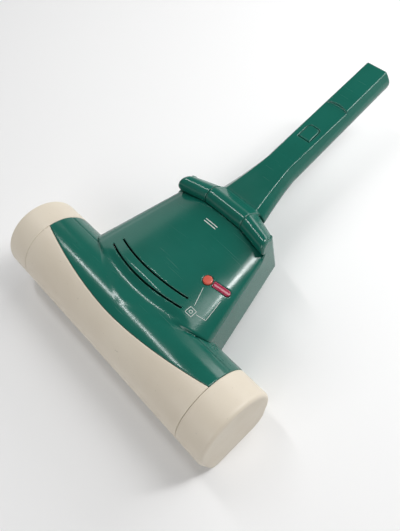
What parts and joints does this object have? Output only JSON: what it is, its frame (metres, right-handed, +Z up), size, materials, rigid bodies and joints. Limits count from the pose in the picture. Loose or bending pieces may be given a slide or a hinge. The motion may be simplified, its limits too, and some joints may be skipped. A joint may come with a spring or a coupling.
{
  "type": "handheld vacuum",
  "caption": "Wide carpet brush vacuum with a D-section roll housing, a tapered motor body, a dust drawer, a press button and a slim neck that folds up on a knuckle hinge.",
  "frame": {"origin": "on the plane of the sole, under the middle of the machine's bounding box", "axes": "+X along the brush roll towards the belt side, +Y back along the neck, +Z up from the sole"},
  "size_m": [0.3, 0.403, 0.0884],
  "materials": {
    "green_plastic": "polished moulded plastic, dark green, lightly scratched",
    "beige_plastic": "satin moulded plastic, warm beige",
    "red_plastic": "satin red plastic",
    "lens": "clear dark red plastic",
    "grey_plastic": "fine-grained dark grey plastic",
    "black_plastic": "black moulded plastic",
    "smoke_plastic": "smoke-tinted plastic",
    "bristle": "nylon tufts",
    "steel": "bright drawn steel",
    "bronze": "sintered bronze and copper windings",
    "rubber": "black rubber",
    "foam": "open-cell filter foam",
    "circuit_board": "lacquered board",
    "lamp": "clear lamp"
  },
  "bodies": {
    "body": {"upper_shell": "green_plastic", "base_shell": "green_plastic", "front_cover": "beige_plastic", "sole_plate": "grey_plastic", "right_end_cap": "beige_plastic", "left_end_cap": "beige_plastic", "right_roll_bush": "bronze", "left_roll_bush": "bronze", "left_case_screw": "steel", "right_case_screw": "steel", "motor_can": "steel", "motor_cradle": "grey_plastic", "fan_housing": "grey_plastic", "drive_belt": "rubber", "duct_seal": "rubber", "filter_frame": "grey_plastic", "filter_pad": "foam", "red_button_spring": "steel", "indicator_lens": "lens", "indicator_lamp": "lamp", "control_board": "circuit_board", "button_switch": "black_plastic", "hinge_pin": "steel", "wheel_axle": "steel"},
    "brush": {"roll_core": "black_plastic", "roll_shaft": "steel", "roll_pulley": "grey_plastic", "bristles_long_front": "bristle", "bristles_long_rear": "bristle", "bristles_short_front": "bristle", "bristles_short_rear": "bristle"},
    "rotor": {"motor_armature": "bronze", "motor_shaft": "steel", "motor_pulley": "grey_plastic", "fan_wheel": "black_plastic"},
    "dust_drawer": {"dust_box": "smoke_plastic", "dust_box_face": "green_plastic"},
    "press_button": {"red_button": "red_plastic"},
    "neck": {"neck_shell": "green_plastic", "neck_cover": "green_plastic", "power_inlet": "black_plastic", "thumb_button_spring": "steel", "thumb_switch": "black_plastic", "neck_screw_front": "steel", "neck_screw_rear": "steel"},
    "neck_button": {"thumb_button": "green_plastic"},
    "wheel_right": {"right_wheel": "grey_plastic"},
    "wheel_left": {"left_wheel": "grey_plastic"}
  },
  "joints": [
    {"name": "neck_fold", "type": "hinge", "parent": "body", "child": "neck", "pos_m": [0, -0.0177, 0.0727], "axis": [1, 0, 0], "range_deg": [0, 80]},
    {"name": "brush_spin", "type": "hinge", "parent": "body", "child": "brush", "pos_m": [0, -0.1605, 0.0335], "axis": [1, 0, 0], "continuous": true},
    {"name": "motor_spin", "type": "hinge", "parent": "body", "child": "rotor", "pos_m": [0, -0.0625, 0.047], "axis": [1, 0, 0], "continuous": true},
    {"name": "drawer_slide", "type": "slide", "parent": "body", "child": "dust_drawer", "axis": [-1, 0, 0], "range_m": [0, 0.13]},
    {"name": "red_button_press", "type": "slide", "parent": "body", "child": "press_button", "axis": [-0.1859, -0.1045, -0.977], "range_m": [0, 0.002], "stiffness_N_per_m": 300, "springref_m": -0.003, "deforming": ["red_button_spring"]},
    {"name": "thumb_button_press", "type": "slide", "parent": "neck", "child": "neck_button", "axis": [0, 0.0625, -0.998], "range_m": [0, 0.002], "stiffness_N_per_m": 300, "springref_m": -0.003, "deforming": ["thumb_button_spring"]},
    {"name": "right_wheel_spin", "type": "hinge", "parent": "body", "child": "wheel_right", "pos_m": [0.036, -0.0425, 0.0095], "axis": [1, 0, 0], "continuous": true},
    {"name": "left_wheel_spin", "type": "hinge", "parent": "body", "child": "wheel_left", "pos_m": [-0.036, -0.0425, 0.0095], "axis": [1, 0, 0], "continuous": true}
  ],
  "couplings": [
    {"joint": "motor_spin", "follows": "brush_spin", "ratio": 2.6667}
  ]
}
